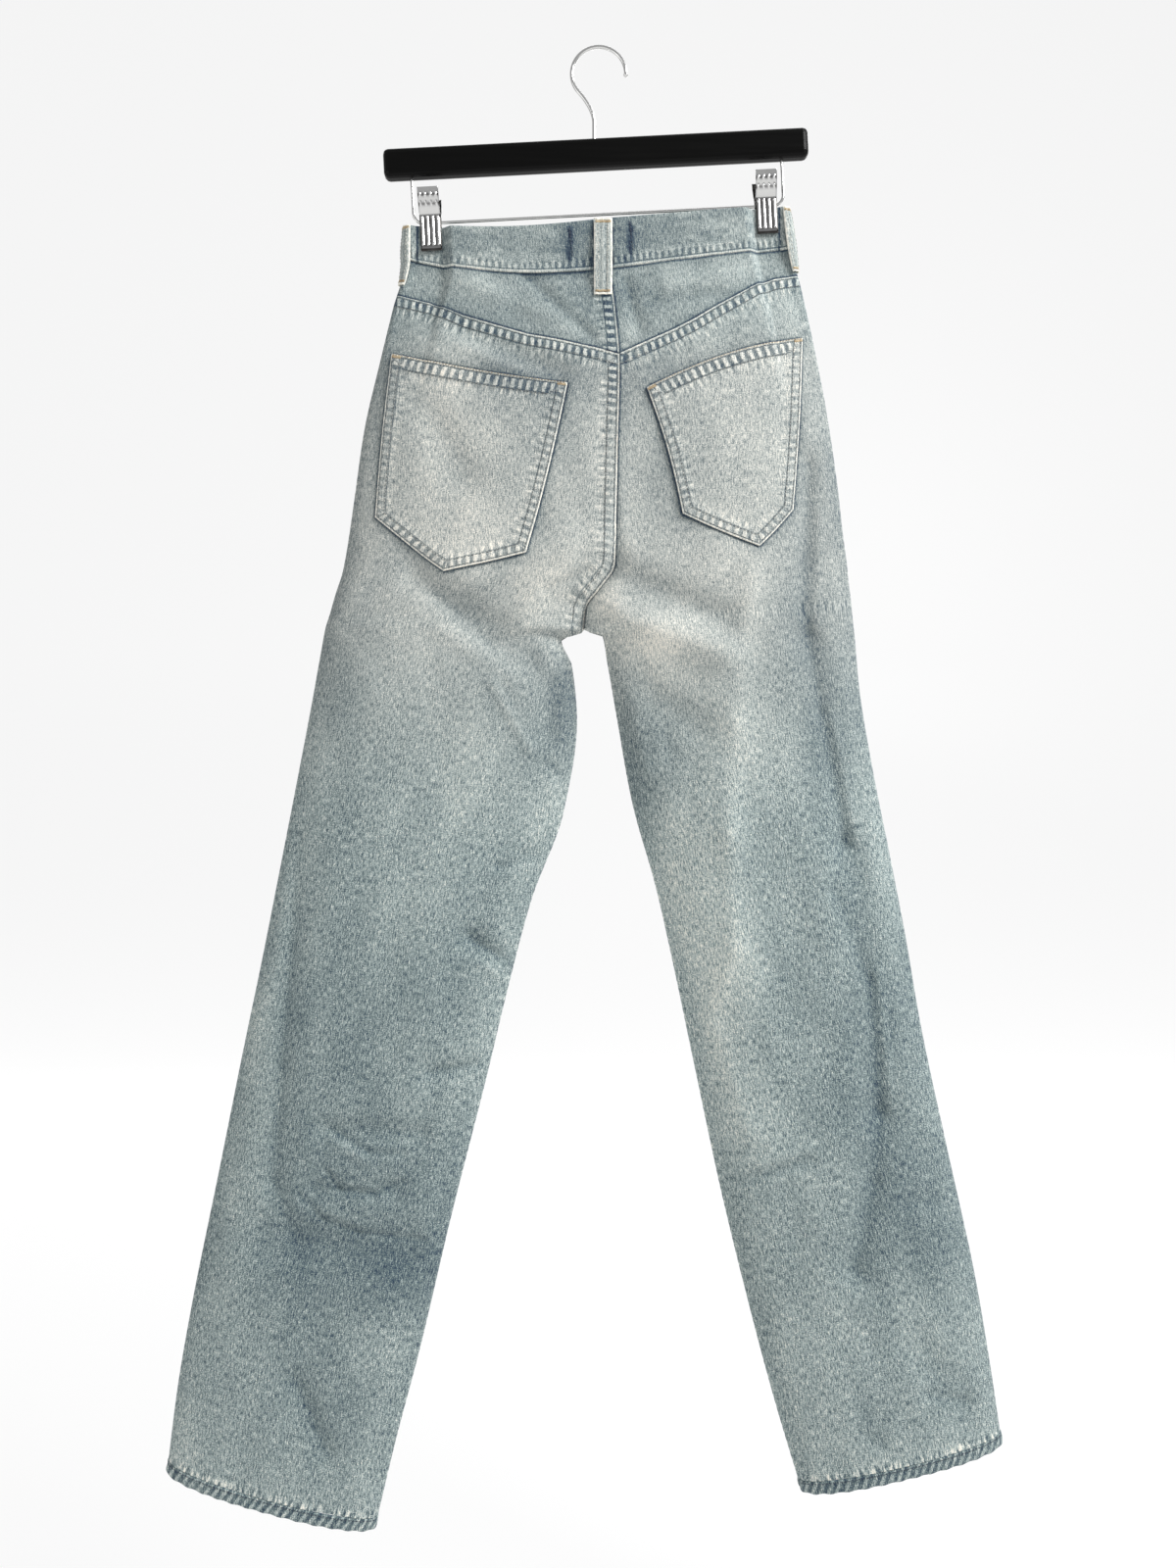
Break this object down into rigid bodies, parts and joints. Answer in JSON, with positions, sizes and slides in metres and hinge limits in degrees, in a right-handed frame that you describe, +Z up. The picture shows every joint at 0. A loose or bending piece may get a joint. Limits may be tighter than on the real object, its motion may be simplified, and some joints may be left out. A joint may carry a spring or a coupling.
{
  "type": "jeans on a clip hanger",
  "caption": "High-rise straight jeans with a V yoke, back pockets and belt loops, hung flat by the waistband from a clip hanger.",
  "frame": {"origin": "inner top of the hanger's hook, where a rail or peg carries it", "axes": "+Z up, the garment's back faces -Y and its front +Y, the wearer's left leg is at -X"},
  "size_m": [0.697, 0.066, 1.2368],
  "materials": {
    "denim": "stone-washed light blue denim, matte",
    "pocket_denim": "stone-washed denim, paler with wear",
    "trim_denim": "stone-washed denim with puckered edges",
    "lacquered_wood": "black satin lacquer",
    "chrome": "bright chrome plate",
    "button_metal": "dark antiqued metal"
  },
  "bodies": {
    "root": {"back_panel_left": "denim", "back_panel_right": "denim", "back_yoke_left": "denim", "back_yoke_right": "denim", "front_panel_left": "denim", "front_panel_right": "denim", "pocket_facing_left": "denim", "pocket_facing_right": "denim", "fly": "denim", "back_pocket_left": "pocket_denim", "back_pocket_right": "pocket_denim", "waistband": "trim_denim", "hem_left": "trim_denim", "hem_right": "trim_denim", "belt_loop_centre_back": "trim_denim", "belt_loop_side_left": "trim_denim", "belt_loop_side_right": "trim_denim", "belt_loop_front_left": "trim_denim", "belt_loop_front_right": "trim_denim", "hanger_bar": "lacquered_wood", "hanger_hook": "chrome", "hanger_rod": "chrome", "clip_left_outer_jaw": "chrome", "clip_left_inner_jaw": "chrome", "clip_left_spring": "chrome", "clip_right_outer_jaw": "chrome", "clip_right_inner_jaw": "chrome", "clip_right_spring": "chrome", "button": "button_metal"}
  },
  "joints": []
}
